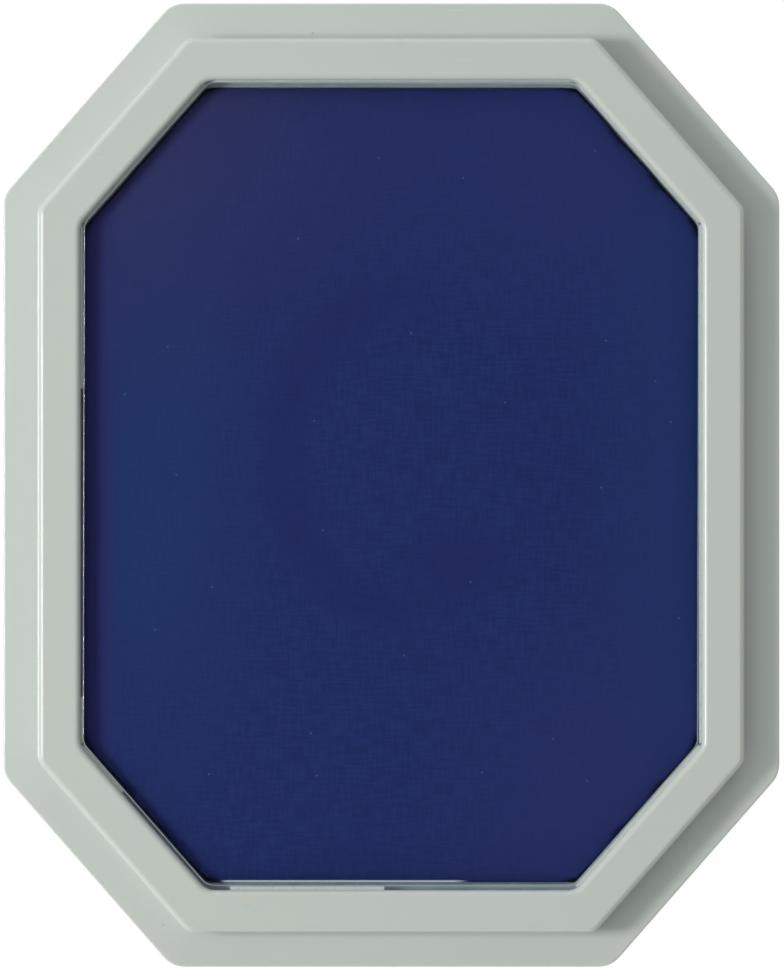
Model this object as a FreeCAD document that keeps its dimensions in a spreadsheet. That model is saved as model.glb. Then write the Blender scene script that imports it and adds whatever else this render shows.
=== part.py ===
"""Desk ink pad: an eight-sided tray with a stacked ink pad in it, under a lift-off lid with a clear window.

Millimetres. The origin is on the table under the middle of the case, +Z is up, +Y runs along the
longer way of the case and +X across it. The lid and the tray meet on one level parting plane.
"""
import FreeCAD, Part
import math
import os
import re

import Sketcher
from FreeCAD import Placement, Rotation, Vector

doc = FreeCAD.newDocument("InkPad")

# ---------------------------------------------------------------- driving sizes
SIZES = [
    # outline of the case: a rectangle with its four corners cut off
    ("half_width", 76.5),        # middle of the case to a long side
    ("half_length", 95.0),       # middle of the case to a short side
    ("cut_x", 33.2),             # how far each corner cut runs along a short side
    ("cut_y", 37.9),             # how far each corner cut runs along a long side
    ("outline_round", 5.5),      # corner radius of both flanges, seen from above
    ("flange_thick", 2.0),
    ("flange_edge_round", 0.4),
    # heights above the table
    ("stand_height", 1.0),       # underside of the tray, held up by the feet
    ("parting_height", 12.5),    # where the lid's flange lies on the tray's flange
    # lid frame
    ("lid_height", 8.5),         # parting plane to the top of the raised frame
    ("lid_wall_inset", 7.3),     # outline to the raised frame's outer wall
    ("lid_wall_thick", 2.0),
    ("lid_wall_round", 2.5),     # corner radius of the raised frame, seen from above
    ("lid_crown_round", 1.0),    # outer top edge of the raised frame
    ("lid_foot_round", 0.7),     # hollow where the raised frame grows out of the flange
    ("ring_thick", 1.8),         # top plate of the raised frame
    ("opening_inset", 15.45),    # outline to the edge of the window opening
    ("opening_round", 3.6),      # corner radius of the opening, seen from above
    ("opening_edge_round", 1.2), # top edge of the opening
    ("inner_round", 1.5),        # inside corners of the lid's and the tray's walls
    # clear window, glued under the ring with strips of tape
    ("window_thick", 1.0),
    ("window_shift_x", -0.1),    # the window sits a little off the middle of its opening
    ("window_shift_y", 0.2),
    ("window_turn", -0.12),      # and a little turned in it, in degrees
    ("window_flange_inset", 10.2),
    ("plateau_gap", 0.6),        # opening to the window's raised part, all round
    ("plateau_recess", 0.6),     # raised part below the top of the frame
    ("plateau_round", 3.2),
    ("plateau_edge_round", 0.3),
    ("plateau_wall", 0.5),       # width of the raised part's wall
    # tape under the ring
    ("tape_thick", 0.2),
    ("tape_wide", 3.5),
    ("tape_back", 0.12),         # tape stops this far short of the window's raised part
    ("tape_end_gap", 0.2),       # tape stops this far short of a corner
    ("left_tape_start", 18.8),   # upper left strip starts here, up from the middle
    ("left_tape_stop", 41.8),    # lower left strip starts here, down from the middle
    ("corner_tape_run", 12.0),   # length of the strip on the lower left corner cut
    ("bottom_tape_near", 1.3),   # bottom strip, left of the middle
    ("bottom_tape_far", 31.6),
    # tray
    ("tray_floor", 2.0),
    ("well_side_inset", 15.7),   # outline to the inner face of the tray's wall, at the long sides
    ("well_end_inset", 16.8),    # at the short sides
    ("well_cut_inset", 16.3),    # and at the corner cuts
    ("rim_wall", 1.8),
    ("rim_round", 2.2),
    ("rim_rise", 3.4),           # wall above the parting plane, inside the lid
    ("rim_edge_round", 0.5),
    ("tray_bottom_round", 1.5),
    ("panel_inset", 32.0),       # shallow stiffening panel pressed up into the underside
    ("panel_depth", 0.5),
    ("panel_round", 4.0),
    ("under_flange_round", 0.8),
    ("peg_radius", 1.2),         # round pegs on the tray's flange that centre the lid's wall
    ("peg_rise", 3.0),
    ("peg_gap", 0.25),
    ("side_peg_y", 35.0),
    ("end_peg_x", 22.0),
    # feet
    ("foot_radius", 6.0),
    ("foot_thick", 1.5),
    ("foot_edge_round", 0.4),
    ("foot_recess_gap", 0.3),
    ("foot_x", 40.0),
    ("foot_y", 62.0),
    # stacked ink pad
    ("pad_gap", 0.1),            # tray wall to the cloth, all round
    ("cloth_thick", 0.6),
    ("board_thick", 2.0),
    ("foam_thick", 6.9),
    ("felt_thick", 3.6),
    ("layer_gap", 0.05),         # cloth to the layers that it holds, all round
    ("pad_round", 2.6),          # corner radius of the pad, seen from above
    ("pad_crown_round", 0.8),    # top edge of the pad
    ("hem_wide", 12.0),          # cloth turned in under the board
    ("mounting_tape_wide", 16.0),
    ("mounting_tape_long", 100.0),
    ("mounting_tape_x", 34.0),
]

sheet = doc.addObject("Spreadsheet::Sheet", "Sizes")
for row, (alias, number) in enumerate(SIZES, start=1):
    sheet.set(f"A{row}", alias)
    sheet.set(f"B{row}", str(number))
    sheet.setAlias(f"B{row}", alias)
gauge = doc.addObject("App::FeaturePython", "Gauge")
gauge.addProperty("App::PropertyFloat", "Reading")
doc.recompute()

ALIAS = re.compile(r"\b(" + "|".join(alias for alias, _ in SIZES) + r")\b")


def bound(text):
    """An expression on the sheet's cells, written with the bare aliases."""
    return ALIAS.sub(r"Sizes.\1", str(text))


def value(text):
    """The number that such an expression stands for, read from the gauge, in millimetres."""
    gauge.setExpression("Reading", bound(text))
    gauge.recompute()
    return gauge.Reading


# ---------------------------------------------------------------- derived sizes, as expressions
CUT = "sqrt(cut_x^2 + cut_y^2)"
RIM_TOP = "parting_height + rim_rise"
PAD_BASE = "stand_height + tray_floor"
RING_UNDER = "lid_height - ring_thick"
LID_CAVITY_INSET = "lid_wall_inset + lid_wall_thick"
PLATEAU_INSET = "opening_inset + plateau_gap"
WINDOW_BASE = "parting_height + lid_height - ring_thick - tape_thick - window_thick"
WINDOW_RISE = "ring_thick + tape_thick + window_thick - plateau_recess"
PEG_INSET = "lid_wall_inset + lid_wall_thick + peg_gap + peg_radius"
PAD_HEIGHT = "2*cloth_thick + board_thick + foam_thick + felt_thick"


def side_vertex(side, slope):
    """Corner between a long side moved in by `side` and a corner cut moved in by `slope`."""
    across = f"(half_width - ({side}))"
    along = f"(half_length - cut_y + (cut_y*({side}) - {CUT}*({slope}))/cut_x)"
    return across, along


def end_vertex(end, slope):
    """Corner between a short side moved in by `end` and a corner cut moved in by `slope`."""
    across = f"(half_width - cut_x + (cut_x*({end}) - {CUT}*({slope}))/cut_y)"
    along = f"(half_length - ({end}))"
    return across, along


# ---------------------------------------------------------------- building blocks
def place_at(item, x, y, z, turn):
    """Binds an object's place, and its turn about the upright axis."""
    item.Placement = Placement(Vector(), Rotation(Vector(0, 0, 1), 0))
    item.setExpression("Placement.Rotation.Angle", bound(turn))
    for axis, place in (("x", x), ("y", y), ("z", z)):
        item.setExpression(f"Placement.Base.{axis}", bound(place))


def new_body(name, x=0, y=0, z=0, turn="0 deg"):
    body = doc.addObject("PartDesign::Body", name)
    body.Label = name
    place_at(body, x, y, z, turn)
    return body


def flat_sketch(body, name, level):
    """An empty sketch on the body's own level plane, at the height `level`."""
    sketch = body.newObject("Sketcher::SketchObject", name)
    plane = next(f for f in body.Origin.OriginFeatures if f.Role == "XY_Plane")
    sketch.AttachmentSupport = [(plane, "")]
    sketch.MapMode = "FlatFace"
    sketch.setExpression("AttachmentOffset.Base.z", bound(level))
    return sketch


def bind(sketch, constraint, name, expression):
    index = sketch.addConstraint(constraint)
    sketch.renameConstraint(index, name)
    sketch.setExpression(f"Constraints.{name}", bound(expression))


def octagon(body, name, level, side, end=None, slope=None):
    """The case's outline moved in by one distance, or by its own at each kind of side."""
    end = side if end is None else end
    slope = side if slope is None else slope
    sketch = flat_sketch(body, name, level)
    side_x, side_y = side_vertex(side, slope)
    end_x, end_y = end_vertex(end, slope)
    sx, sy, ex, ey = (value(text) for text in (side_x, side_y, end_x, end_y))
    corners = [(sx, -sy), (sx, sy), (ex, ey), (-ex, ey), (-sx, sy), (-sx, -sy), (-ex, -ey), (ex, -ey)]
    points = [Vector(x, y, 0) for x, y in corners]
    for index, start in enumerate(points):
        sketch.addGeometry(Part.LineSegment(start, points[(index + 1) % len(points)]), False)
    for index in range(len(points)):
        following = (index + 1) % len(points)
        sketch.addConstraint(Sketcher.Constraint("Coincident", index, 2, following, 1))
    across_axis, up_axis = -1, -2
    mirrored = [(1, 0, across_axis), (2, 7, across_axis), (1, 4, up_axis),
                (2, 3, up_axis), (4, 5, across_axis), (3, 6, across_axis)]
    for first, second, axis in mirrored:
        sketch.addConstraint(Sketcher.Constraint("Symmetric", first, 1, second, 1, axis))
    bind(sketch, Sketcher.Constraint("DistanceX", -1, 1, 1, 1, sx), "side_x", side_x)
    bind(sketch, Sketcher.Constraint("DistanceY", -1, 1, 1, 1, sy), "side_y", side_y)
    bind(sketch, Sketcher.Constraint("DistanceX", -1, 1, 2, 1, ex), "end_x", end_x)
    bind(sketch, Sketcher.Constraint("DistanceY", -1, 1, 2, 1, ey), "end_y", end_y)
    return sketch


def well(body, name, level, inwards):
    """The outline of the tray's inner wall, moved in by `inwards`; a minus sign moves it out."""
    insets = (f"{side} + {inwards}" for side in ("well_side_inset", "well_end_inset", "well_cut_inset"))
    return octagon(body, name, level, *insets)


def circles(body, name, level, radius, places):
    """Equal circles at the places (x, y), each given as a name and two expressions."""
    sketch = flat_sketch(body, name, level)
    for index, (label, x, y) in enumerate(places):
        centre = Vector(value(x), value(y), 0)
        sketch.addGeometry(Part.Circle(centre, Vector(0, 0, 1), value(radius)), False)
        bind(sketch, Sketcher.Constraint("Radius", index, value(radius)), f"{label}_radius", radius)
        bind(sketch, Sketcher.Constraint("DistanceX", -1, 1, index, 3, centre.x), f"{label}_x", x)
        bind(sketch, Sketcher.Constraint("DistanceY", -1, 1, index, 3, centre.y), f"{label}_y", y)
    return sketch


def grow(body, sketch, name, length):
    """Material above the sketch."""
    pad = body.newObject("PartDesign::Pad", name)
    pad.Profile = sketch
    pad.setExpression("Length", bound(length))
    sketch.Visibility = False
    doc.recompute()
    return pad


def hollow(body, sketch, name, depth, upwards=False):
    """A pocket below the sketch, or above it; it has to remove something."""
    before = body.Tip.Shape.Volume
    pocket = body.newObject("PartDesign::Pocket", name)
    pocket.Profile = sketch
    pocket.Reversed = upwards
    pocket.setExpression("Length", bound(depth))
    sketch.Visibility = False
    doc.recompute()
    if pocket.Shape.Volume > before - 1e-3:
        raise RuntimeError(f"{body.Label}: {name} cuts nothing")
    return pocket


def round_off(body, name, radius, wanted):
    """A fillet on every edge of the body for which wanted(edge) is true."""
    tip = body.Tip
    edges = [f"Edge{n}" for n, edge in enumerate(tip.Shape.Edges, start=1) if wanted(edge)]
    if not edges:
        raise RuntimeError(f"{body.Label}: {name} finds no edge")
    fillet = body.newObject("PartDesign::Fillet", name)
    fillet.Base = (tip, edges)
    fillet.setExpression("Radius", bound(radius))
    doc.recompute()
    return fillet


NEAR = 0.01


def upright(low, high):
    """Picks the straight upright edges that run exactly from `low` to `high`."""
    low, high = value(low), value(high)

    def wanted(edge):
        box = edge.BoundBox
        straight_up = box.XLength < NEAR and box.YLength < NEAR
        return straight_up and abs(box.ZMin - low) < NEAR and abs(box.ZMax - high) < NEAR
    return wanted


def inset_of(point, end_extra=0.0, cut_extra=0.0):
    """How far a point lies inside the nearest side of the case's outline.

    An extra is taken off at the short sides and at the corner cuts, for an outline further in there.
    """
    from_side = sheet.half_width - abs(point.x)
    from_end = sheet.half_length - abs(point.y)
    cut = math.hypot(sheet.cut_x, sheet.cut_y)
    from_cut = (sheet.cut_y*from_side + sheet.cut_x*(from_end - sheet.cut_y))/cut
    return min(from_side, from_end - end_extra, from_cut - cut_extra)


def around(level, inset, spread=0.75, end_extra=0.0, cut_extra=0.0):
    """Picks the closed run of level edges at one height, `inset` inside the outline."""
    level, inset = value(level), value(inset)

    def wanted(edge):
        box = edge.BoundBox
        flat = box.ZLength < NEAR and abs(box.ZMin - level) < NEAR
        middle = edge.valueAt((edge.FirstParameter + edge.LastParameter)/2)
        return flat and abs(inset_of(middle, end_extra, cut_extra) - inset) < spread
    return wanted


def around_well(level, inwards):
    """Picks such a run on an outline made by well()."""
    side = sheet.well_side_inset
    return around(level, f"well_side_inset + {inwards}", 0.4,
                  sheet.well_end_inset - side, sheet.well_cut_inset - side)


# ---------------------------------------------------------------- lid
def build_lid_frame():
    """Moulded frame: a flange, a raised ring with a hollow underside, and the window opening."""
    body = new_body("lid_frame", z="parting_height")
    grow(body, octagon(body, "FlangeOutline", 0, 0), "Flange", "flange_thick")
    round_off(body, "OutlineCorners", "outline_round", upright(0, "flange_thick"))
    ring = octagon(body, "RingOutline", "flange_thick", "lid_wall_inset")
    grow(body, ring, "RaisedRing", "lid_height - flange_thick")
    round_off(body, "RingCorners", "lid_wall_round", upright("flange_thick", "lid_height"))
    hollow(body, octagon(body, "Underside", RING_UNDER, LID_CAVITY_INSET), "Cavity", RING_UNDER)
    round_off(body, "CavityCorners", "inner_round", upright(0, RING_UNDER))
    hollow(body, octagon(body, "Opening", "lid_height", "opening_inset"), "WindowOpening", "ring_thick")
    round_off(body, "OpeningCorners", "opening_round", upright(RING_UNDER, "lid_height"))
    round_off(body, "OpeningEdge", "opening_edge_round", around("lid_height", "opening_inset"))
    round_off(body, "CrownEdge", "lid_crown_round", around("lid_height", "lid_wall_inset"))
    round_off(body, "RingFoot", "lid_foot_round", around("flange_thick", "lid_wall_inset"))
    round_off(body, "FlangeTopEdge", "flange_edge_round", around("flange_thick", 0))
    round_off(body, "FlangeUnderEdge", "flange_edge_round", around(0, 0))
    return body


def build_window():
    """Clear window: a flange that is taped under the ring, and a raised middle that fills the opening."""
    body = new_body("lid_window", "window_shift_x", "window_shift_y", WINDOW_BASE, "window_turn * 1 deg")
    grow(body, octagon(body, "FlangeOutline", 0, "window_flange_inset"), "Flange", "window_thick")
    round_off(body, "FlangeCorners", "inner_round", upright(0, "window_thick"))
    plateau = octagon(body, "PlateauOutline", "window_thick", PLATEAU_INSET)
    grow(body, plateau, "Plateau", f"{WINDOW_RISE} - window_thick")
    round_off(body, "PlateauCorners", "plateau_round", upright("window_thick", WINDOW_RISE))
    hollow_top = f"{WINDOW_RISE} - window_thick"
    under = octagon(body, "PlateauUnderside", hollow_top, f"{PLATEAU_INSET} + plateau_wall")
    hollow(body, under, "PlateauHollow", hollow_top)
    round_off(body, "HollowCorners", "plateau_round - plateau_wall", upright(0, hollow_top))
    round_off(body, "PlateauEdge", "plateau_edge_round", around(WINDOW_RISE, PLATEAU_INSET))
    return body


def build_strip(name, long, wide, thick, turn, x, y, z):
    """A flat strip of tape: its length along its own X, its width along its own Y."""
    strip = doc.addObject("Part::Box", name)
    strip.Label = name
    strip.setExpression("Length", bound(long))
    strip.setExpression("Width", bound(wide))
    strip.setExpression("Height", bound(thick))
    place_at(strip, x, y, z, turn)
    return strip


def build_window_tapes():
    """Strips between the ring and the window's flange; their inner edges show in the gap."""
    inset = f"({PLATEAU_INSET} - tape_back)"
    level = "parting_height + lid_height - ring_thick - tape_thick"
    side_x, side_y = side_vertex(inset, inset)
    end_x, end_y = end_vertex(inset, inset)
    cut_angle = "atan(cut_x/cut_y)"
    cut_reach = f"((cut_y*(half_width - {inset}) + cut_x*{side_y})/{CUT})"
    cut_near = f"((cut_x*(half_width - {inset}) - cut_y*{side_y})/{CUT} - tape_end_gap)"
    cut_far = f"((cut_y*{end_y} - cut_x*{end_x})/{CUT} - tape_end_gap)"
    side_half = f"({side_y} - tape_end_gap)"
    end_half = f"({end_x} - tape_end_gap)"
    # name, way the strip faces out, reach from the middle, and its run, clockwise, along that side
    runs = [
        ("top", "90 deg", end_y, f"-{end_half}", end_half),
        ("top_right", cut_angle, cut_reach, f"-{cut_far}", cut_near),
        ("right", "0 deg", side_x, f"-{side_half}", side_half),
        ("bottom_right", f"-{cut_angle}", cut_reach, f"-{cut_near}", cut_far),
        ("bottom", "270 deg", end_y, "bottom_tape_near", "bottom_tape_far"),
        ("bottom_left", f"180 deg + {cut_angle}", cut_reach, f"{cut_near} - corner_tape_run", cut_near),
        ("left_lower", "180 deg", side_x, f"-{side_half}", "-left_tape_stop"),
        ("left_upper", "180 deg", side_x, "left_tape_start", side_half),
        ("top_left", f"180 deg - {cut_angle}", cut_reach, f"-{cut_near}", cut_far),
    ]
    strips = []
    for name, facing, reach, start, stop in runs:
        x = f"window_shift_x + {reach}*cos({facing}) + ({start})*sin({facing})"
        y = f"window_shift_y + {reach}*sin({facing}) - ({start})*cos({facing})"
        strips.append(build_strip(f"window_tape_{name}", f"({stop}) - ({start})", "tape_wide",
                                  "tape_thick", f"({facing}) - 90 deg", x, y, level))
    return strips


# ---------------------------------------------------------------- tray
FOOT_PLACES = [
    ("front_left", "-foot_x", "-foot_y"),
    ("front_right", "foot_x", "-foot_y"),
    ("back_left", "-foot_x", "foot_y"),
    ("back_right", "foot_x", "foot_y"),
]


def build_tray():
    """Moulded tray: a tub for the ink pad, a flange round it, and pegs that centre the lid."""
    body = new_body("base_tray", z="stand_height")
    rim_top = f"{RIM_TOP} - stand_height"
    flange_top = "parting_height - stand_height"
    flange_under = f"{flange_top} - flange_thick"
    grow(body, well(body, "TubOutline", 0, "(-rim_wall)"), "Tub", rim_top)
    round_off(body, "TubCorners", "rim_round", upright(0, rim_top))
    grow(body, octagon(body, "FlangeOutline", flange_under, 0), "Flange", "flange_thick")
    round_off(body, "OutlineCorners", "outline_round", upright(flange_under, flange_top))
    hollow(body, well(body, "WellOutline", rim_top, 0), "PadWell", f"{rim_top} - tray_floor")
    round_off(body, "WellCorners", "inner_round", upright("tray_floor", rim_top))
    round_off(body, "RimOuterEdge", "rim_edge_round", around_well(rim_top, "(-rim_wall)"))
    round_off(body, "RimInnerEdge", "rim_edge_round", around_well(rim_top, 0))
    round_off(body, "TubBottomEdge", "tray_bottom_round", around_well(0, "(-rim_wall)"))
    round_off(body, "UnderFlange", "under_flange_round", around_well(flange_under, "(-rim_wall)"))
    round_off(body, "FlangeTopEdge", "flange_edge_round", around(flange_top, 0))
    round_off(body, "FlangeUnderEdge", "flange_edge_round", around(flange_under, 0))
    corners = [("back_right", "", ""), ("front_right", "", "-"),
               ("back_left", "-", ""), ("front_left", "-", "-")]
    pegs = [(f"side_{corner}", f"{sx}(half_width - ({PEG_INSET}))", f"{sy}side_peg_y")
            for corner, sx, sy in corners]
    pegs += [(f"end_{corner}", f"{sx}end_peg_x", f"{sy}(half_length - ({PEG_INSET}))")
             for corner, sx, sy in corners]
    grow(body, circles(body, "PegSections", flange_top, "peg_radius", pegs), "CentringPegs", "peg_rise")
    panel = octagon(body, "PanelOutline", 0, "panel_inset")
    hollow(body, panel, "UndersidePanel", "panel_depth", upwards=True)
    round_off(body, "PanelCorners", "panel_round", upright(0, "panel_depth"))
    seats = circles(body, "FootSeats", 0, "foot_radius + foot_recess_gap", FOOT_PLACES)
    hollow(body, seats, "FootRecesses", "foot_thick - stand_height", upwards=True)
    return body


def build_foot(name, x, y):
    """Rubber disc, stuck in its recess and rounded where it meets the table."""
    body = new_body(f"foot_{name}", x, y)
    grow(body, circles(body, "Disc", 0, "foot_radius", [("disc", "0", "0")]), "Thickness", "foot_thick")

    def lower_edge(edge):
        return abs(edge.BoundBox.ZMax) < NEAR
    round_off(body, "LowerEdge", "foot_edge_round", lower_edge)
    return body


# ---------------------------------------------------------------- ink pad
def build_pad_cover():
    """Woven cloth over the top and sides of the pad, turned in under the board."""
    body = new_body("pad_cover", z=PAD_BASE)
    grow(body, well(body, "ClothOutline", 0, "pad_gap"), "Cloth", PAD_HEIGHT)
    round_off(body, "ClothCorners", "pad_round", upright(0, PAD_HEIGHT))
    inner_top = f"{PAD_HEIGHT} - cloth_thick"
    core_inwards = "pad_gap + cloth_thick"
    core = well(body, "CoreOutline", inner_top, core_inwards)
    hollow(body, core, "CoreHollow", f"{inner_top} - cloth_thick")
    round_off(body, "CoreCorners", "pad_round - cloth_thick", upright("cloth_thick", inner_top))
    round_off(body, "CoreCrown", "pad_crown_round - cloth_thick", around_well(inner_top, core_inwards))
    opening = well(body, "HemOutline", "cloth_thick", "pad_gap + hem_wide")
    hollow(body, opening, "HemOpening", "cloth_thick")
    round_off(body, "ClothCrown", "pad_crown_round", around_well(PAD_HEIGHT, "pad_gap"))
    return body


def build_layer(name, below, thick, crowned=False):
    """One flat layer inside the cloth, `below` above the tray's floor."""
    body = new_body(name, z=f"{PAD_BASE} + {below}")
    inwards = "pad_gap + cloth_thick + layer_gap"
    grow(body, well(body, "LayerOutline", 0, inwards), "Layer", thick)
    round_off(body, "LayerCorners", "pad_round - cloth_thick", upright(0, thick))
    if crowned:
        round_off(body, "LayerCrown", "pad_crown_round - cloth_thick", around_well(thick, inwards))
    return body


def build_mounting_tapes():
    """Three foam tape strips that hold the board to the tray's floor, inside the cloth's hem."""
    strips = []
    for name, middle in (("left", "-mounting_tape_x"), ("middle", "0"), ("right", "mounting_tape_x")):
        strips.append(build_strip(f"mounting_tape_{name}", "mounting_tape_wide", "mounting_tape_long",
                                  "cloth_thick", "0 deg", f"{middle} - mounting_tape_wide/2",
                                  "-mounting_tape_long/2", PAD_BASE))
    return strips


# ---------------------------------------------------------------- the whole object
parts = [build_lid_frame(), build_window(), *build_window_tapes(), build_tray()]
parts += [build_foot(*place) for place in FOOT_PLACES]
parts += [
    build_pad_cover(),
    build_layer("pad_board", "cloth_thick", "board_thick"),
    build_layer("foam_reservoir", "cloth_thick + board_thick", "foam_thick"),
    build_layer("felt_wick", "cloth_thick + board_thick + foam_thick", "felt_thick", crowned=True),
    *build_mounting_tapes(),
]
doc.recompute()

failed = [item.Name for item in doc.Objects if {"Invalid", "Error"} & set(item.State)]
if failed:
    raise RuntimeError(f"these objects failed: {failed}")
for part in parts:
    shape = part.Shape
    if shape.isNull() or not shape.isValid() or len(shape.Solids) != 1:
        raise RuntimeError(f"{part.Label} isn't one valid solid")

os.makedirs("parts", exist_ok=True)
for part in parts:
    part.Shape.exportStep(f"parts/{part.Label}.step")
    box = part.Shape.optimalBoundingBox()
    print(f"{part.Label:26s} {part.Shape.Volume/1000:8.2f} cm3   x {box.XMin:7.2f} {box.XMax:7.2f}"
          f"   y {box.YMin:7.2f} {box.YMax:7.2f}   z {box.ZMin:6.2f} {box.ZMax:6.2f}")
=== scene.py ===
# %% [markdown]
# # A desk ink pad
# An eight-sided plastic case holds a stacked ink pad: a board, a foam reservoir and a felt wick under a
# tight cloth. A lift-off lid with a clear window keeps the ink wet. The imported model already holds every
# rigid part at its true size, so the first step is to load it as a fixed frame. Everything made later takes
# its place from that frame, which is why no later step has to fit anything.

# %% Load the frame
import math

import bmesh
import bpy
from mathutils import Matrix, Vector


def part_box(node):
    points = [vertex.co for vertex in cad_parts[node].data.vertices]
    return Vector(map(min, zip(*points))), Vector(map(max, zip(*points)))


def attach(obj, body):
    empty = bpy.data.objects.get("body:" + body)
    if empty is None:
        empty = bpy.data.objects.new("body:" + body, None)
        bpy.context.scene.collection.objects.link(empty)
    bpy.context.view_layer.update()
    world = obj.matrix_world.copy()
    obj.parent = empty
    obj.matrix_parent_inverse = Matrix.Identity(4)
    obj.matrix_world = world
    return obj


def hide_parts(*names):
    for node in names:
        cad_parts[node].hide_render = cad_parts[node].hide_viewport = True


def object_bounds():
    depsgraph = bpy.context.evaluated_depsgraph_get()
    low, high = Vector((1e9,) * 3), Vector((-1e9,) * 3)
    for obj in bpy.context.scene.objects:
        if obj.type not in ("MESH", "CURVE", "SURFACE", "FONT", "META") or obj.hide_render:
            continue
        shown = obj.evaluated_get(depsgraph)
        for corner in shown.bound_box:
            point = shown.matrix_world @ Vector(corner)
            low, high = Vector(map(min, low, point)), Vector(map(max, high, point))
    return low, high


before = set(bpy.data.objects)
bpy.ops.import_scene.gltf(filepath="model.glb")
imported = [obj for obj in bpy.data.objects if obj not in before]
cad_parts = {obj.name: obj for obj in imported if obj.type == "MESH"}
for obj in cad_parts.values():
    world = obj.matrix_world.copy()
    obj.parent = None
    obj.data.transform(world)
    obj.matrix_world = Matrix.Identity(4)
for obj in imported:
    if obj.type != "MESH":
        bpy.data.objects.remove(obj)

MM = 0.001
cad_low, cad_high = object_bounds()
print("case", [round(side/MM, 2) for side in cad_high - cad_low], "mm,", len(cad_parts), "nodes")

# %% [markdown]
# ## The camera
# The case is seen from straight above, nearly filling a portrait picture. A long lens far away keeps the
# case's walls from leaning outwards, as suits a flat object. The lens is worked out from the distance and
# from how much of the picture's height the case takes, so the framing follows the frame if its size changes.

# %% Place the camera
FLANGE_THICK = 2*MM
CAMERA_RISE = 1.5                 # above the top of the lid's flange
CASE_SHARE = 0.9924               # of the picture's height
OFF_MIDDLE = Vector((0.12, -0.08, 0))*MM

flange_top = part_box("lid_frame")[0].z + FLANGE_THICK
case_length = cad_high.y - cad_low.y
bpy.ops.object.select_all(action="DESELECT")
bpy.ops.object.camera_add(location=(OFF_MIDDLE.x, OFF_MIDDLE.y, flange_top + CAMERA_RISE), rotation=(0, 0, 0))
camera = bpy.context.object
camera.name = "camera_above"
camera.data.sensor_width = 36
camera.data.lens = camera.data.sensor_width*CAMERA_RISE/(case_length/CASE_SHARE)
camera.data.clip_start, camera.data.clip_end = 0.05, 10
bpy.context.scene.camera = camera
print("lens", round(camera.data.lens, 1), "mm")

# %% [markdown]
# ## Shader maths as Python expressions
# A shader graph is mostly arithmetic. Wrapping a socket in a small class that overloads the operators lets
# a finish be written as a formula, and each operator adds its own Math node. A second class holds one
# material and adds any other kind of node through one method, so every finish below reads as a short
# recipe instead of a page of links.


# %% A socket that does arithmetic
class Wire:
    """An output socket; arithmetic on it adds Math nodes and gives a new wire."""

    def __init__(self, finish, socket):
        self.finish = finish
        self.socket = socket

    def math(self, operation, *values):
        values = dict(enumerate(values))
        return self.finish.node("ShaderNodeMath", {"operation": operation}, values)

    def __add__(self, other):
        return self.math("ADD", self, other)

    def __radd__(self, other):
        return self.math("ADD", other, self)

    def __sub__(self, other):
        return self.math("SUBTRACT", self, other)

    def __rsub__(self, other):
        return self.math("SUBTRACT", other, self)

    def __mul__(self, other):
        return self.math("MULTIPLY", self, other)

    def __rmul__(self, other):
        return self.math("MULTIPLY", other, self)

    def __truediv__(self, other):
        return self.math("DIVIDE", self, other)

    def __rtruediv__(self, other):
        return self.math("DIVIDE", other, self)

    def __pow__(self, other):
        return self.math("POWER", self, other)

    def __abs__(self):
        return self.math("ABSOLUTE", self)

    def __neg__(self):
        return self.math("MULTIPLY", self, -1)

    def least(self, other):
        return self.math("MINIMUM", self, other)

    def most(self, other):
        return self.math("MAXIMUM", self, other)

    def sine(self):
        return self.math("SINE", self)

    def clamped(self):
        return self.most(0).least(1)

    def rising(self, low, high):
        """0 below low, 1 above high, and smooth between them."""
        sockets = {"Value": self, "From Min": low, "From Max": high}
        return self.finish.node("ShaderNodeMapRange", {"interpolation_type": "SMOOTHSTEP"}, sockets)


# %% A node tree with one method that adds any node
class Graph:
    """The node tree of a material or of the room."""

    def __init__(self, owner, coordinates):
        owner.use_nodes = True
        self.tree = owner.node_tree
        self.tree.nodes.clear()
        self.place = self.node("ShaderNodeTexCoord", output=coordinates)
        split = self.node("ShaderNodeSeparateXYZ", sockets={"Vector": self.place}, output=None)
        self.x, self.y, self.z = (Wire(self, split.outputs[axis]) for axis in "XYZ")

    def node(self, kind, settings=None, sockets=None, output=0):
        """A node with its settings made first, then its sockets set or linked; gives one output."""
        made = self.tree.nodes.new(kind)
        for name, setting in (settings or {}).items():
            if name == "stops":
                self.set_stops(made.color_ramp.elements, setting)
            else:
                setattr(made, name, setting)
        for name, value in (sockets or {}).items():
            if isinstance(value, Wire):
                self.tree.links.new(value.socket, made.inputs[name])
            else:
                made.inputs[name].default_value = value
        return made if output is None else Wire(self, made.outputs[output])

    def set_stops(self, elements, stops):
        while len(elements) < len(stops):
            elements.new(1)
        for element, (position, colour) in zip(elements, stops):
            element.position = position
            element.color = colour


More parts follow.
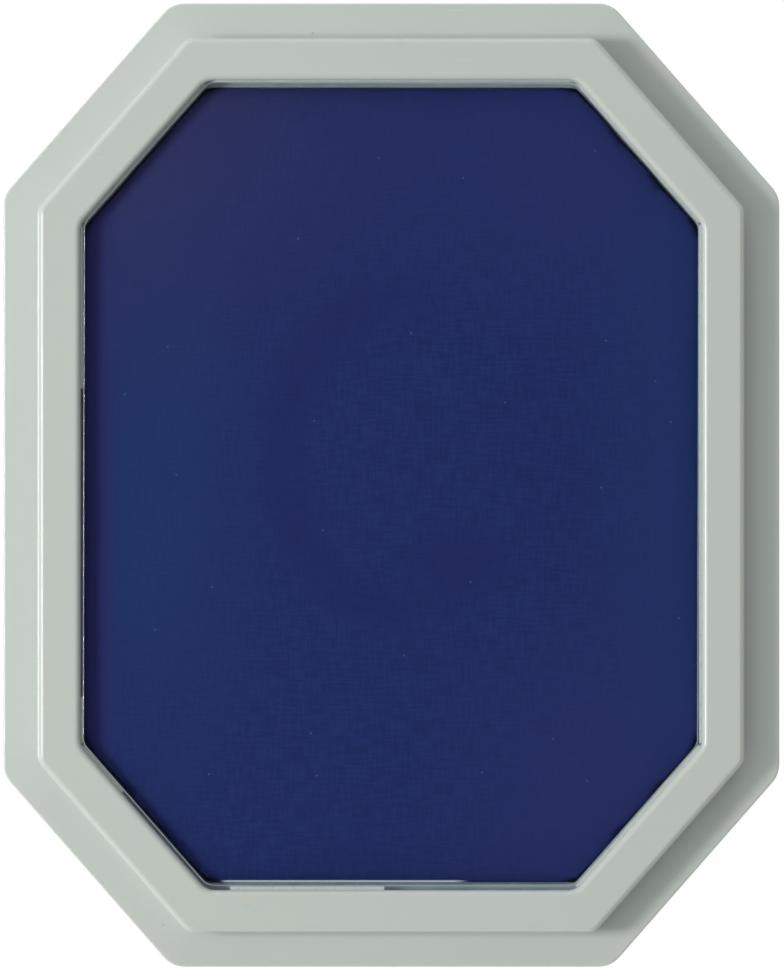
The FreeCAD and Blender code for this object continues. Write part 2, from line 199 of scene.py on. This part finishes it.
# %% A material built node by node
class Finish(Graph):
    """One node material; its places are measured in the object's own coordinates."""

    def __init__(self, name):
        self.material = bpy.data.materials.new(name)
        super().__init__(self.material, "Object")

    def noise(self, size, detail=2, roughness=0.5, stretch=(1, 1, 1), seed=0):
        """Soft noise from 0 to 1 whose blobs are about `size` across, in metres."""
        scale = tuple(factor/size for factor in stretch)
        where = self.node("ShaderNodeMapping", {"vector_type": "POINT"},
                          {"Vector": self.place, "Location": (seed, 2*seed, 3*seed), "Scale": scale})
        sockets = {"Vector": where, "Scale": 1, "Detail": detail, "Roughness": roughness}
        return self.node("ShaderNodeTexNoise", sockets=sockets)

    def blend(self, share, first, second):
        """Mixes two colours; a share of 1 gives the second."""
        settings = {"data_type": "RGBA", "blend_type": "MIX"}
        return self.node("ShaderNodeMix", settings, {0: share, 6: first, 7: second}, output=2)

    def spot(self, x, y, wide, long=None, soft=0.5):
        """A soft round or oval patch, seen from above, with its middle at (x, y)."""
        across = (self.x - x)/(wide/2)
        along = (self.y - y)/((long or wide)/2)
        reach = (across*across + along*along)**0.5
        return 1 - reach.rising(1 - soft, 1 + soft)

    def bump(self, height, distance, strength=1.0, under=None):
        sockets = {"Height": height, "Distance": distance, "Strength": strength}
        if under is not None:
            sockets["Normal"] = under
        return self.node("ShaderNodeBump", sockets=sockets)

    def surface(self, **sockets):
        """A Principled shader; keywords name its sockets, with _ for a space."""
        named = {name.replace("_", " "): value for name, value in sockets.items()}
        return self.node("ShaderNodeBsdfPrincipled", sockets=named)

    def done(self, shader):
        self.node("ShaderNodeOutputMaterial", sockets={"Surface": shader}, output=None)
        print("finish", self.material.name, len(self.tree.nodes), "nodes")
        return self.material


def grey(level, alpha=1.0):
    return (level, level, level, alpha)


# %% [markdown]
# ## Moulded plastic
# The case is grey-green polystyrene from a polished mould: glossy, very slightly wavy, with a faint tone
# drift, a few fine scuffs and some small stains left by inky fingers. A flat grey would look like clay, so
# each of these is a separate layer: slow noise for the drift, stretched noise for the scuffs, soft spots
# for the stains, and a polished edge found from the case's own outline. Inside the line of the lid's raised
# wall the plastic is also painted darker and warmer than on the flange, a painted shade for how the light
# falls on the two levels.

# %% Case plastic
HALF_WIDTH = (cad_high.x - cad_low.x)/2
HALF_LENGTH = case_length/2
CUT_X, CUT_Y = 33.2*MM, 37.9*MM   # how far each corner cut runs along a short and a long side
CUT = math.hypot(CUT_X, CUT_Y)
LID_WALL_INSET = 7.3*MM


def inset(finish):
    """How far a point lies inside the nearest side of the case's outline, seen from above."""
    from_side = HALF_WIDTH - abs(finish.x)
    from_end = HALF_LENGTH - abs(finish.y)
    from_cut = (CUT_Y/CUT)*from_side + (CUT_X/CUT)*(from_end - CUT_Y)
    return from_side.least(from_end).least(from_cut)


def make_case_plastic(name, inked_rim=False):
    finish = Finish(name)
    drift = finish.noise(45*MM, detail=3)
    mottle = finish.noise(2.2*MM, detail=4, seed=3)
    colour = finish.blend(drift, (0.535, 0.578, 0.540, 1), (0.562, 0.601, 0.568, 1))
    colour = finish.blend(mottle.rising(0.35, 0.8)*0.10, colour, (0.49, 0.535, 0.49, 1))
    stains = [
        (finish.spot(-68.3*MM, 50.3*MM, 1.6*MM, 2.4*MM), (0.66, 0.50, 0.50, 1), 0.35),
        (finish.spot(-68.7*MM, -38.4*MM, 1.6*MM, 9*MM), (0.68, 0.50, 0.36, 1), 0.30),
        (finish.spot(-47.6*MM, -78.9*MM, 3*MM), (0.62, 0.58, 0.42, 1), 0.22),
        (finish.spot(-27.5*MM, -82.8*MM, 3.4*MM, 1.6*MM), (0.40, 0.55, 0.66, 1), 0.55),
        (finish.spot(1.7*MM, 87.0*MM, 2.0*MM), (0.44, 0.48, 0.43, 1), 0.45),
        (finish.spot(-15.5*MM, 89.1*MM, 0.5*MM), (0.30, 0.33, 0.29, 1), 0.6),
        (finish.spot(-45.0*MM, -86.7*MM, 0.5*MM), (0.30, 0.33, 0.29, 1), 0.6),
    ]
    ragged = finish.noise(0.9*MM, detail=3, seed=5).rising(0.30, 0.62)
    for mask, stain, strength in stains:
        colour = finish.blend(mask*ragged*strength, colour, stain)
    scuffs = finish.noise(1.1*MM, detail=2, stretch=(0.12, 1.6, 1), seed=7).rising(0.66, 0.74)
    handled = finish.noise(24*MM, detail=2, seed=9).rising(0.45, 0.75)
    crown = 1 - abs(inset(finish) - (LID_WALL_INSET + 0.5*MM)).rising(0.4*MM, 1.1*MM)
    rim = 1 - inset(finish).rising(0.2*MM, 0.9*MM)
    worn = crown.most(rim)*finish.noise(6*MM, detail=3, seed=11).rising(0.4, 0.7)
    colour = finish.blend(worn*0.05, colour, (0.66, 0.70, 0.65, 1))
    if inked_rim:
        rim_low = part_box("base_tray")[1].z - 1.0*MM
        inked = finish.z.rising(rim_low, rim_low + 0.6*MM)*inset(finish).rising(14*MM, 15*MM)
        patchy = finish.noise(7*MM, detail=3, seed=17).rising(0.25, 0.75)
        colour = finish.blend(inked*(0.55 + 0.35*patchy), colour, (0.10, 0.19, 0.34, 1))
    # Painted shade: inside the lid's raised wall the plastic is painted darker and warmer than on the flange,
    # for how the light falls on the two levels.
    raised_top_shade = inset(finish).rising(LID_WALL_INSET - 0.4*MM, LID_WALL_INSET + 0.4*MM)
    colour = finish.blend(raised_top_shade*0.40, colour, (0.49, 0.530, 0.475, 1))
    roughness = 0.22 + 0.12*scuffs*handled + 0.05*mottle - 0.03*worn
    waves = finish.noise(9*MM, detail=1, seed=13)
    grain = finish.noise(0.22*MM, detail=2, seed=15)
    normal = finish.bump(waves, 0.02*MM)
    normal = finish.bump(grain, 0.0025*MM, under=normal)
    shader = finish.surface(Base_Color=colour, Roughness=roughness, Normal=normal, IOR=1.5,
                            Specular_IOR_Level=0.42)
    return finish.done(shader)


case_plastic = make_case_plastic("case plastic")
tray_plastic = make_case_plastic("tray plastic", inked_rim=True)

# %% [markdown]
# ## Clear window
# The window is pressed from clear acrylic: a glued flange and a raised middle. Real glass bends the light
# twice, so a render needs true refraction for what is seen. Light on its way to the pad is let straight
# through instead, because a lamp can't be found through bent rays, so the frame's shadow on the pad falls
# a little longer than real glass would give. A painted highlight, a pale matt band, runs round the raised
# middle's outer edge and is brighter towards the right; a thin painted highlight line on the top face
# stands in for the light that the inner corner catches along part of the front. Hairline scratches only
# tilt the surface.


# %% Window plastic
# Where the painted highlight line lies, on the window's top face along its front.
PAINTED_GLINT_Y = -77.8*MM                # the inner corner at the window's front
PAINTED_GLINT_LEFT, PAINTED_GLINT_RIGHT = -34*MM, 15.5*MM


def make_clear_plastic():
    finish = Finish("clear acrylic")
    scratches = finish.noise(2.4*MM, detail=2, stretch=(0.10, 1.5, 1), seed=21).rising(0.70, 0.76)
    hair = finish.noise(1.9*MM, detail=2, stretch=(1.5, 0.12, 1), seed=23).rising(0.72, 0.77)
    waves = finish.noise(14*MM, detail=1, seed=25)
    normal = finish.bump(waves, 0.01*MM)
    normal = finish.bump(scratches.most(hair), 0.002*MM, under=normal)
    glass = finish.surface(Base_Color=(0.97, 0.985, 1.0, 1), Roughness=0.0, IOR=1.49,
                           Transmission_Weight=1.0, Normal=normal)
    through = finish.node("ShaderNodeBsdfTransparent", sockets={"Color": (0.93, 0.945, 0.955, 1)})
    window_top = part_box("lid_window")[1].z
    # Painted highlight: a pale matt band round the raised middle's outer edge, weaker on the left and
    # stronger on the right, stands in for the light that the edge catches.
    edge = finish.z.rising(window_top - 0.7*MM, window_top - 0.4*MM)
    edge = edge*(1 - finish.z.rising(window_top - 0.04*MM, window_top - 0.01*MM))
    edge = edge*(0.62 + 0.33*finish.x.rising(-40*MM, 40*MM))
    # Painted highlight: a thin pale line on the top face along the front stands in for the light that the
    # inner corner catches.
    painted_glint_line = 1 - abs(finish.y - PAINTED_GLINT_Y).rising(0.10*MM, 0.30*MM)
    painted_glint_line = painted_glint_line*finish.x.rising(PAINTED_GLINT_LEFT, PAINTED_GLINT_LEFT + 2*MM)
    painted_glint_line = painted_glint_line*(1 - finish.x.rising(PAINTED_GLINT_RIGHT - 3.5*MM, PAINTED_GLINT_RIGHT))
    painted_glint_line = painted_glint_line*finish.z.rising(window_top - 0.02*MM, window_top - 0.005*MM)
    lit = finish.node("ShaderNodeBsdfTranslucent", sockets={"Color": (0.88, 0.96, 1.0, 1)})
    skin = finish.node("ShaderNodeBsdfDiffuse", sockets={"Color": (0.80, 0.88, 0.92, 1)})
    painted_edge_light = finish.node("ShaderNodeMixShader", sockets={0: 0.4, 1: lit, 2: skin})
    glass = finish.node("ShaderNodeMixShader", sockets={0: edge.most(painted_glint_line*0.95), 1: glass, 2: painted_edge_light})
    path = finish.node("ShaderNodeLightPath", output=None)
    shadow = Wire(finish, path.outputs["Is Shadow Ray"])
    diffuse = Wire(finish, path.outputs["Is Diffuse Ray"])
    shader = finish.node("ShaderNodeMixShader", sockets={0: shadow.most(diffuse), 1: glass, 2: through})
    return finish.done(shader)


clear_plastic = make_clear_plastic()

# %% [markdown]
# ## Tape, board and rubber
# Strips of bright double-sided tape hold the window under the frame, and thick foam tape holds the board to
# the tray. Tape shows tiny trapped bubbles, foam shows open cells, the board is dull recycled plastic with
# dark flecks, and the feet are matt rubber with a dusty bloom.


# %% Tape finishes
def make_clear_tape():
    finish = Finish("window tape")
    bubbles = finish.noise(0.7*MM, detail=2, seed=31).rising(0.58, 0.66)
    streaks = finish.noise(1.2*MM, detail=2, stretch=(0.3, 0.3, 1), seed=33)
    colour = finish.blend(streaks, (0.48, 0.53, 0.50, 1), (0.56, 0.60, 0.57, 1))
    colour = finish.blend(bubbles*0.4, colour, (0.36, 0.40, 0.38, 1))
    normal = finish.bump(bubbles, 0.01*MM)
    return finish.done(finish.surface(Base_Color=colour, Roughness=0.28 + 0.2*bubbles, Normal=normal))


def make_foam_tape():
    finish = Finish("foam tape")
    cells = finish.node("ShaderNodeTexVoronoi", {"feature": "F1"},
                        {"Vector": finish.place, "Scale": 1/(0.35*MM)}, output="Distance")
    colour = finish.blend(cells, (0.80, 0.80, 0.76, 1), (0.58, 0.58, 0.54, 1))
    normal = finish.bump(1 - cells, 0.08*MM)
    return finish.done(finish.surface(Base_Color=colour, Roughness=0.75 + 0.15*cells, Normal=normal))


clear_tape = make_clear_tape()
foam_tape = make_foam_tape()


# %% Board and rubber finishes
def make_board_plastic():
    finish = Finish("recycled board")
    flecks = finish.noise(0.6*MM, detail=3, seed=41).rising(0.62, 0.70)
    drift = finish.noise(12*MM, detail=3, seed=43)
    colour = finish.blend(drift, (0.50, 0.51, 0.50, 1), (0.60, 0.61, 0.60, 1))
    colour = finish.blend(flecks*0.6, colour, (0.24, 0.25, 0.26, 1))
    normal = finish.bump(finish.noise(0.5*MM, detail=4, seed=45), 0.03*MM)
    return finish.done(finish.surface(Base_Color=colour, Roughness=0.62 + 0.1*drift, Normal=normal))


def make_foot_rubber():
    finish = Finish("foot rubber")
    bloom = finish.noise(2.5*MM, detail=4, seed=51).rising(0.45, 0.8)
    colour = finish.blend(bloom*0.35, (0.035, 0.036, 0.038, 1), (0.16, 0.16, 0.16, 1))
    normal = finish.bump(finish.noise(0.18*MM, detail=3, seed=53), 0.02*MM)
    return finish.done(finish.surface(Base_Color=colour, Roughness=0.72 + 0.15*bloom, Normal=normal))


board_plastic = make_board_plastic()
foot_rubber = make_foot_rubber()

# %% [markdown]
# ## Inked cloth, felt and foam
# The pad's top is a fine plain weave soaked with blue ink. The threads are less than half a millimetre
# apart, so they show as a faint tooth, with streaks where some threads hold more ink. Ink also settles
# unevenly over the years: greener at the sides, and a soft darker curve where stamps were pressed. The
# cloth is also lighter and redder towards three corners, and along the left edge it is painted purpler
# and less green, a painted shade where the frame's shadow falls. The weave takes the higher of two sine
# waves, each tone is one soft mask, and a few specks of lint are scattered over it.


# %% Inked cloth
def make_inked_cloth():
    finish = Finish("inked cloth")
    pitch = 0.46*MM
    wander = finish.noise(4*MM, detail=3, seed=61)*0.9*MM
    warp = ((finish.x + wander)*(math.pi/pitch)).sine()
    weft = ((finish.y + wander)*(math.pi/pitch)).sine()
    weave = abs(warp).most(abs(weft))
    across = finish.noise(0.5*MM, detail=2, stretch=(0.12, 1, 1), seed=63)
    along = finish.noise(0.5*MM, detail=2, stretch=(1, 0.12, 1), seed=65)
    thread = (across + along)*0.5
    fuzz = finish.noise(0.30*MM, detail=3, seed=67)
    dark_thread, light_thread = (0.0072, 0.0185, 0.1100, 1), (0.0128, 0.0250, 0.1410, 1)
    colour = finish.blend(thread.rising(0.38, 0.62), dark_thread, light_thread)
    # Lighter and redder towards the top-right and bottom-right corners, and most of all towards the top-left
    # one.
    red = (finish.spot(62*MM, 74*MM, 110*MM, 60*MM, 0.9)
           + finish.spot(60*MM, -75*MM, 70*MM, 90*MM, 0.9)).clamped()
    teal = (finish.spot(66*MM, 10*MM, 36*MM, 130*MM, 0.9)
            + finish.spot(-46*MM, 0*MM, 26*MM, 90*MM, 0.9)).clamped()
    haze = finish.spot(-66*MM, 86*MM, 90*MM, 90*MM, 0.9)
    cloud = finish.noise(26*MM, detail=3, seed=69).rising(0.3, 0.7)
    bow = finish.spot(2*MM, 6*MM, 56*MM, 70*MM, 0.10)*(1 - finish.spot(4*MM, 6*MM, 42*MM, 54*MM, 0.16))
    bow = bow*(1 - finish.x.rising(-8*MM, 20*MM)) + finish.spot(14*MM, -15*MM, 18*MM, 13*MM, 0.6)
    colour = finish.blend(red*0.6, colour, (0.0240, 0.0290, 0.1420, 1))
    colour = finish.blend(teal*0.5, colour, (0.0090, 0.0380, 0.1500, 1))
    colour = finish.blend(haze*0.75, colour, (0.0400, 0.0345, 0.1180, 1))
    # Painted shade: along the left edge the cloth is tinted purpler and less green, where the frame's shadow
    # falls on the pad.
    left_shadow_tint = 1 - finish.x.rising(-58*MM, -53*MM)
    colour = finish.blend(left_shadow_tint*0.7, colour, (0.0200, 0.0190, 0.1250, 1))
    colour = finish.blend(cloud*0.10, colour, (0.0160, 0.0230, 0.1150, 1))
    colour = finish.blend(bow*0.40, colour, (0.0110, 0.0150, 0.1080, 1))
    dots = finish.node("ShaderNodeTexVoronoi", {"voronoi_dimensions": "2D", "feature": "F1"},
                       {"Vector": finish.place, "Scale": 1/(26*MM)}, output="Distance")
    lint = 1 - dots.rising(0.005, 0.009)
    colour = finish.blend(lint*0.5, colour, (0.1300, 0.1700, 0.3400, 1))
    roughness = 0.62 + 0.12*thread
    normal = finish.bump(fuzz, 0.02*MM)
    normal = finish.bump(weave*0.6 + thread, 0.03*MM, under=normal)
    shader = finish.surface(Base_Color=colour, Roughness=roughness, Normal=normal, Specular_IOR_Level=0.15)
    return finish.done(shader)


inked_cloth = make_inked_cloth()


# %% Felt and foam
def make_ink_felt():
    finish = Finish("inked felt")
    fibres = finish.noise(0.5*MM, detail=4, stretch=(0.25, 1.3, 1), seed=71)
    crossed = finish.noise(0.5*MM, detail=4, stretch=(1.3, 0.25, 1), seed=73)
    mat = fibres.most(crossed)
    colour = finish.blend(mat.rising(0.4, 0.75), (0.008, 0.012, 0.060, 1), (0.020, 0.028, 0.120, 1))
    normal = finish.bump(mat, 0.12*MM)
    return finish.done(finish.surface(Base_Color=colour, Roughness=0.80 + 0.1*mat, Normal=normal))


def make_ink_foam():
    finish = Finish("inked foam")
    cells = finish.node("ShaderNodeTexVoronoi", {"feature": "F1"},
                        {"Vector": finish.place, "Scale": 1/(0.8*MM)}, output="Distance")
    walls = cells.rising(0.25, 0.6)
    colour = finish.blend(walls, (0.006, 0.010, 0.050, 1), (0.024, 0.036, 0.150, 1))
    normal = finish.bump(walls, 0.25*MM)
    return finish.done(finish.surface(Base_Color=colour, Roughness=0.65 + 0.2*walls, Normal=normal))


ink_felt = make_ink_felt()
ink_foam = make_ink_foam()

# %% [markdown]
# ## Dressing the rigid parts
# Each rigid part keeps the mesh that it has in the frame. Only its material slots are filled, by the name
# of the slot that the part's record gives it, so no part can be forgotten.

# %% Give every node its finish
FINISHES = {
    "case_plastic": case_plastic,
    "clear_plastic": clear_plastic,
    "clear_tape": clear_tape,
    "foam_tape": foam_tape,
    "foot_rubber": foot_rubber,
    "inked_cloth": inked_cloth,
    "ink_felt": ink_felt,
    "ink_foam": ink_foam,
    "board_plastic": board_plastic,
}
for name, node in sorted(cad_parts.items()):
    for material_slot in node.material_slots:
        material_slot.material = FINISHES[material_slot.material.name]
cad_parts["base_tray"].material_slots[0].material = tray_plastic
print("dressed", len(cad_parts), "nodes with", len(FINISHES), "finishes")

# %% [markdown]
# ## The stacked pad
# Under the window lies the part that does the work. A woven cloth is pulled tight over a felt wick and a
# foam reservoir, and turned in under a stiff board. Pulled cloth is never a sharp block: it rounds over the
# edges, dips a little between its corners and lies in a shallow crown. A block with cut corners gives the
# size, a voxel remesh gives it even cloth-sized faces, and a short cloth simulation with a little pressure
# lets it settle. The points are then held to within a fraction of a millimetre of the block, because felt
# and board stop the real cloth from ballooning.

# %% Blocks with cut corners
CORNER_SIGNS = [(1, 1), (1, -1), (-1, 1), (-1, -1)]
UP = Vector((0, 0, 1))


def reach(node_name, towards):
    """How far a node of the frame reaches in one direction."""
    return max(corner.co.dot(towards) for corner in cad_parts[node_name].data.vertices)


def only(mesh, wanted, kind="faces"):
    """Selects just the elements of an edit mesh for which wanted(element) is true."""
    bpy.ops.mesh.select_mode(type={"faces": "FACE", "edges": "EDGE", "verts": "VERT"}[kind])
    bpy.ops.mesh.select_all(action="DESELECT")
    for element in getattr(mesh, kind):
        if wanted(element):
            element.select_set(True)
    mesh.select_flush_mode()


def add_cut_block(name, node_name, shrink=0.0, corner_round=2*MM, edge_round=0.8*MM):
    """The block that a node of the pad fills, its corners cut and its edges rounded in edit mode."""
    low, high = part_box(node_name)
    low, high = low + Vector((1, 1, 1))*shrink, high - Vector((1, 1, 1))*shrink
    bpy.ops.object.select_all(action="DESELECT")
    bpy.ops.mesh.primitive_cube_add(size=1, location=(low + high)/2, scale=high - low)
    block = bpy.context.object
    block.name = block.data.name = name
    bpy.ops.object.transform_apply(location=True, rotation=True, scale=True)
    bpy.ops.object.mode_set(mode="EDIT")
    for sign_x, sign_y in CORNER_SIGNS:
        outwards = Vector((sign_x*CUT_Y, sign_y*CUT_X, 0))/CUT
        bpy.ops.mesh.select_all(action="SELECT")
        bpy.ops.mesh.bisect(plane_co=outwards*(reach(node_name, outwards) - shrink), plane_no=outwards,
                            use_fill=True, clear_outer=True)
    mesh = bmesh.from_edit_mesh(block.data)
    only(mesh, lambda edge: abs((edge.verts[0].co - edge.verts[1].co).normalized().dot(UP)) > 0.99, "edges")
    bpy.ops.mesh.bevel(offset=corner_round, segments=4, affect="EDGES")
    mesh = bmesh.from_edit_mesh(block.data)
    only(mesh, lambda face: abs(face.normal.z) > 0.99)
    bpy.ops.mesh.region_to_loop()
    bpy.ops.mesh.bevel(offset=edge_round, segments=3, affect="EDGES")
    bpy.ops.object.mode_set(mode="OBJECT")
    return block


def apply_modifier(piece, kind, **settings):
    """Adds one modifier with its settings and applies it at once."""
    modifier = piece.modifiers.new(kind.lower(), kind)
    for setting_name, setting in settings.items():
        setattr(modifier, setting_name, setting)
    bpy.ops.object.modifier_apply(modifier=modifier.name)


cloth = add_cut_block("ink_pad_cloth", "pad_cover", shrink=-0.05*MM, edge_round=0.5*MM)
apply_modifier(cloth, "REMESH", mode="VOXEL", voxel_size=1.1*MM)
print("cloth block", len(cloth.data.polygons), "faces")

# %% Let the cloth settle
CLOTH_MOVE = 0.25*MM              # the felt and the board stop it from moving further
CLOTH_FRAMES = 20
CLOTH_PRESSURE = 0.5
HELD_BAND = 1*MM                  # the cloth's lowest points are held still


def settle(piece, frames, pressure, most_move):
    """Runs a cloth simulation on a closed piece and keeps each point near where it started."""
    start = [point.co.copy() for point in piece.data.vertices]
    low_level = min(place.z for place in start)
    lowest = [index for index, place in enumerate(start) if place.z < low_level + HELD_BAND]
    held = piece.vertex_groups.new(name="held")
    held.add(lowest, 1.0, "REPLACE")
    modifier = piece.modifiers.new("settling", "CLOTH")
    fabric = modifier.settings
    fabric.quality = 6
    fabric.mass = 0.2
    fabric.tension_stiffness = fabric.compression_stiffness = 20
    fabric.bending_stiffness = 2.0
    fabric.use_pressure = True
    fabric.uniform_pressure_force = pressure
    fabric.vertex_group_mass = held.name
    fabric.effector_weights.gravity = 0
    modifier.point_cache.frame_start, modifier.point_cache.frame_end = 1, frames
    for number in range(1, frames + 1):
        bpy.context.scene.frame_set(number)
    bpy.ops.object.modifier_apply(modifier=modifier.name)
    bpy.context.scene.frame_set(1)
    furthest = 0.0
    for point, place in zip(piece.data.vertices, start):
        step = point.co - place
        furthest = max(furthest, step.length)
        if step.length > most_move:
            point.co = place + step*(most_move/step.length)
    piece.vertex_groups.clear()
    moved, kept = round(furthest/MM, 2), round(most_move/MM, 2)
    print(piece.name, "moved", moved, "mm before it was held to", kept, "mm")


settle(cloth, CLOTH_FRAMES, CLOTH_PRESSURE, CLOTH_MOVE)

# %% [markdown]
# The cloth is a skin, so its underside is opened up to leave a hem as wide as the frame's own, and the skin
# gets the thickness of the cloth on its inner side. The opening follows the case's outline, cut by eight
# planes just as the corners were, so the hem's edge is straight like a scissor cut.

# %% Open the underside and give the cloth its thickness
CLOTH_THICK = 0.5*MM
HEM_WIDE = 12*MM
SIDE_DIRECTIONS = [Vector((1, 0, 0)), Vector((-1, 0, 0)), Vector((0, 1, 0)), Vector((0, -1, 0))]
SIDE_DIRECTIONS += [Vector((x*CUT_Y, y*CUT_X, 0))/CUT for x, y in CORNER_SIGNS]
cloth_reach = [(towards, reach("pad_cover", towards)) for towards in SIDE_DIRECTIONS]


def depth_inside(place):
    """How far a place lies inside the pad's outline, seen from above."""
    return min(furthest - place.dot(towards) for towards, furthest in cloth_reach)


bpy.ops.object.mode_set(mode="EDIT")
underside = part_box("pad_cover")[0].z + 0.6*MM
for towards, furthest in cloth_reach:
    mesh = bmesh.from_edit_mesh(cloth.data)
    only(mesh, lambda face: face.normal.z < -0.9 and face.calc_center_median().z < underside)
    bpy.ops.mesh.bisect(plane_co=towards*(furthest - HEM_WIDE), plane_no=towards)
mesh = bmesh.from_edit_mesh(cloth.data)
only(mesh, lambda face: face.normal.z < -0.9 and depth_inside(face.calc_center_median()) > HEM_WIDE)
bpy.ops.mesh.delete(type="FACE")
bpy.ops.object.mode_set(mode="OBJECT")
apply_modifier(cloth, "SOLIDIFY", thickness=CLOTH_THICK, offset=-1, use_rim=True)
bpy.ops.object.shade_smooth_by_angle(angle=math.radians(50))
cloth.data.materials.append(inked_cloth)
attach(cloth, "base")
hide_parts("pad_cover")
print(cloth.name, len(cloth.data.polygons), "faces")

# %% [markdown]
# ## Felt and foam
# Inside the cloth the felt is a slab of matted fibres with soft, slightly uneven sides, and the foam below
# it is an open sponge that bulges where it is squeezed. Both start as the same cut block. Even faces from a
# remesh are pushed in and out a little by a clouds texture, which gives felt its fluff and foam its pores
# as real relief.


# %% Felt and foam
def add_soft_layer(name, node_name, finish, voxel, cloud_size, relief):
    """A slab of the pad with a soft, uneven surface; `relief` is how deep it goes."""
    layer = add_cut_block(name, node_name, shrink=relief, corner_round=2*MM, edge_round=0.6*MM)
    apply_modifier(layer, "REMESH", mode="VOXEL", voxel_size=voxel)
    clouds = bpy.data.textures.new(name + "_relief", "CLOUDS")
    clouds.noise_scale = cloud_size
    clouds.noise_depth = 2
    apply_modifier(layer, "DISPLACE", texture=clouds, texture_coords="LOCAL", strength=relief, mid_level=0.5)
    bpy.ops.object.shade_smooth()
    layer.data.materials.append(finish)
    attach(layer, "base")
    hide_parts(node_name)
    print(name, len(layer.data.polygons), "faces")
    return layer


felt = add_soft_layer("ink_pad_felt", "felt_wick", ink_felt, 1.2*MM, 1.5*MM, 0.12*MM)
foam = add_soft_layer("ink_pad_foam", "foam_reservoir", ink_foam, 1.3*MM, 1.2*MM, 0.25*MM)

# %% [markdown]
# ## Floor and studio light
# The case stands on a plain white table. A table that glows a little keeps it white all round and leaves
# only a faint shadow, as on a light table. One broad lamp stands low on the left, which draws the bright
# lines along the left edges and the soft shadow on the right flange, and the pale room around it fills
# the rest. Overhead the room is dark, so the window shows the ink and not a reflection.

# %% Floor
bpy.ops.object.select_all(action="DESELECT")
bpy.ops.mesh.primitive_plane_add(size=6, location=(0, 0, 0))
floor = bpy.context.object
floor.name = "table_top"
table_white = Finish("white table")
glow = table_white.node("ShaderNodeEmission", sockets={"Color": (1, 1, 1, 1), "Strength": 0.93})
paper = table_white.node("ShaderNodeBsdfDiffuse", sockets={"Color": grey(0.14)})
lit_table = table_white.node("ShaderNodeAddShader", sockets={0: glow, 1: paper})
floor.data.materials.append(table_white.done(lit_table))


# %% Lamps
def add_lamp(name, azimuth, elevation, distance, size, power, colour=(1, 1, 1)):
    """A square area lamp that looks at the middle of the case; azimuth 0 is +X, 90 is +Y."""
    turn, rise = math.radians(azimuth), math.radians(elevation)
    towards = Vector((math.cos(turn)*math.cos(rise), math.sin(turn)*math.cos(rise), math.sin(rise)))
    bpy.ops.object.select_all(action="DESELECT")
    bpy.ops.object.light_add(type="AREA", location=towards*distance)
    lamp = bpy.context.object
    lamp.name = name
    lamp.rotation_euler = towards.to_track_quat("Z", "Y").to_euler()
    lamp.data.size = size
    lamp.data.energy = power
    lamp.data.color = colour
    return lamp


add_lamp("key_left", 180, 40.0, 1.5, 0.34, 13.1)
add_lamp("bank_left", 180, 55, 1.5, 1.1, 3.3, (0.97, 1.0, 0.88))
add_lamp("bank_back", 90, 24, 1.5, 1.1, 7.0, (0.90, 0.90, 1.0))
add_lamp("bank_front", 270, 22, 1.5, 1.1, 3.2, (0.95, 0.97, 1.0))
add_lamp("bank_front_left", 225, 22, 1.5, 1.1, 3.0, (0.88, 1.0, 0.92))
add_lamp("bank_back_right", 45, 24, 1.5, 1.1, 1.8, (0.90, 1.0, 0.85))

# %% Room
ROOM_STOPS = [(0.60, grey(0.18)), (0.80, grey(0.38)), (0.98, grey(0.38)), (0.995, grey(0.02))]

world = bpy.data.worlds.new("studio room")
bpy.context.scene.world = world
room = Graph(world, "Generated")
height_tone = room.node("ShaderNodeValToRGB", {"stops": ROOM_STOPS}, {"Fac": room.z})
walls = room.node("ShaderNodeBackground", sockets={"Color": height_tone})
room.node("ShaderNodeOutputWorld", sockets={"Surface": walls}, output=None)

# %% Plain tones
scene = bpy.context.scene
scene.view_settings.view_transform = "Standard"
scene.view_settings.look = "None"
